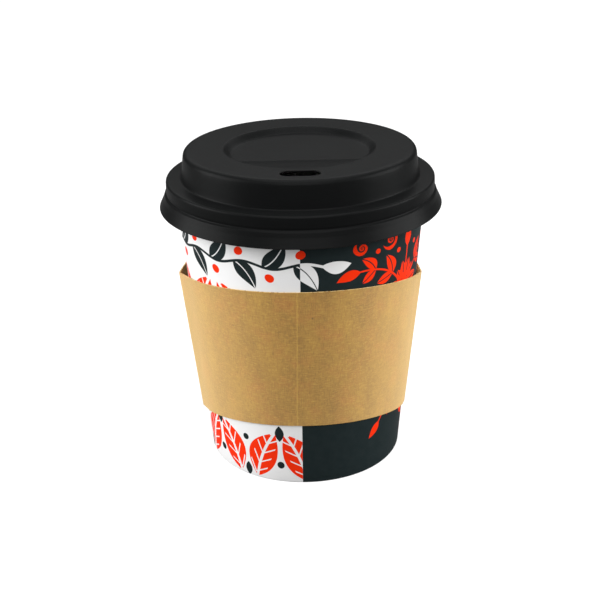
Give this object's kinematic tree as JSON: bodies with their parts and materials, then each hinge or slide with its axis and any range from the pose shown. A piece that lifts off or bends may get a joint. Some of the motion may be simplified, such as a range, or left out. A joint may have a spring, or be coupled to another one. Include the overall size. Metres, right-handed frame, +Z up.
{
  "type": "paper coffee cup",
  "caption": "Conical paper cup with a rolled rim and recessed bottom, a thin press-on sip lid and a creased card sleeve around its middle.",
  "frame": {"origin": "middle of the cup's foot, on the plane it stands on", "axes": "+Z up along the cup's axis, -Y towards the drinking side with the sip slot, +X to the right for someone who faces the sip-slot side from outside"},
  "size_m": [0.0844, 0.0844, 0.0971],
  "materials": {
    "cup_paper": "coated, printed, slight sheen",
    "bottom_board": "coated, satin",
    "lid_plastic": "fine matt moulded",
    "sleeve_card": "uncoated brown kraft"
  },
  "bodies": {
    "cup": {"cup_wall": "cup_paper", "cup_bottom": "bottom_board", "sleeve": "sleeve_card"},
    "lid": {"lid": "lid_plastic"}
  },
  "joints": [
    {"name": "lid_lift", "type": "slide", "parent": "cup", "child": "lid", "axis": [0, 0, 1], "range_m": [0, 0.04]}
  ]
}
